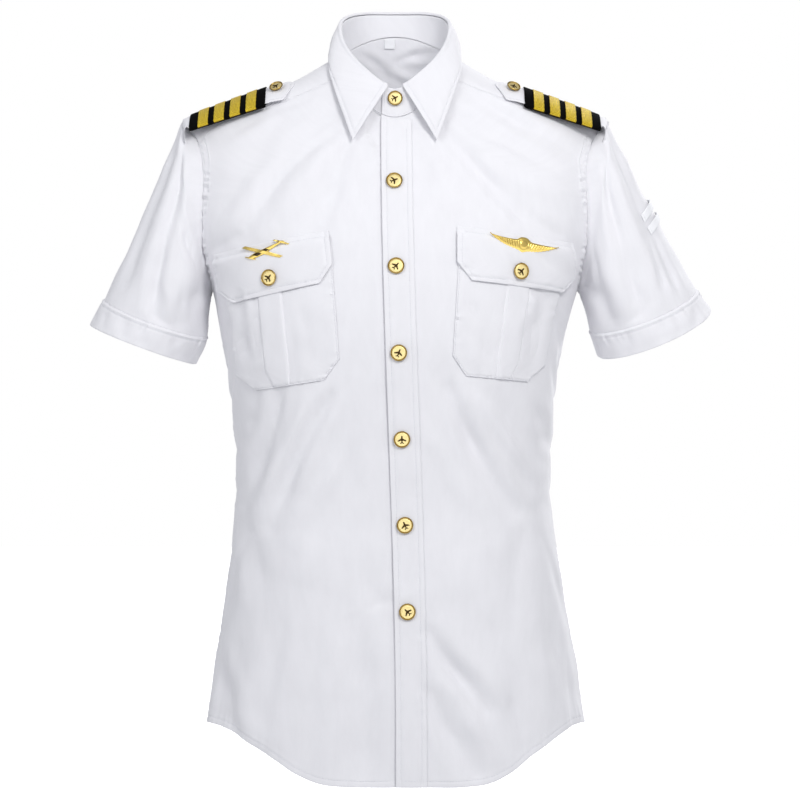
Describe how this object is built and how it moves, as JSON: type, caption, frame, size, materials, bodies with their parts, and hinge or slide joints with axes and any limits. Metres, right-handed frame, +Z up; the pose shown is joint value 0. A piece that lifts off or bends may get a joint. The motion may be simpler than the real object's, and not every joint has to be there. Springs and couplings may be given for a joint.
{
  "type": "short-sleeved pilot shirt",
  "caption": "White short-sleeved uniform shirt in its worn form, with point collar, patch pockets, shoulder straps carrying black and gold boards, gold buttons and pins.",
  "frame": {"origin": "midway between the two points where the shoulders meet the collar, where the wearer's shoulders carry the shirt", "axes": "+Z up along the wearer, +X to the wearer's left, the front faces -Y"},
  "size_m": [0.6204, 0.2457, 0.7679],
  "materials": {
    "cotton": "plain weave cotton blend, matt",
    "board_cloth": "matt black felted cloth with woven gold braid bars",
    "button_metal": "pale gold, fine-grained field and polished rim",
    "pin_metal": "polished yellow gold plate"
  },
  "bodies": {
    "root": {"front_left": "cotton", "front_right": "cotton", "placket": "cotton", "back": "cotton", "yoke": "cotton", "sleeve_left": "cotton", "sleeve_right": "cotton", "cuff_left": "cotton", "cuff_right": "cotton", "collar_stand": "cotton", "collar_leaf": "cotton", "pocket_left": "cotton", "pocket_right": "cotton", "flap_left": "cotton", "flap_right": "cotton", "strap_left": "cotton", "strap_right": "cotton", "pen_loop_upper": "cotton", "pen_loop_lower": "cotton", "neck_label": "cotton", "board_left": "board_cloth", "board_right": "board_cloth", "button_collar": "button_metal", "button_front_1": "button_metal", "button_front_2": "button_metal", "button_front_3": "button_metal", "button_front_4": "button_metal", "button_front_5": "button_metal", "button_front_6": "button_metal", "button_pocket_left": "button_metal", "button_pocket_right": "button_metal", "button_strap_left": "button_metal", "button_strap_right": "button_metal", "pin_wings": "pin_metal", "pin_plane": "pin_metal"}
  },
  "joints": []
}
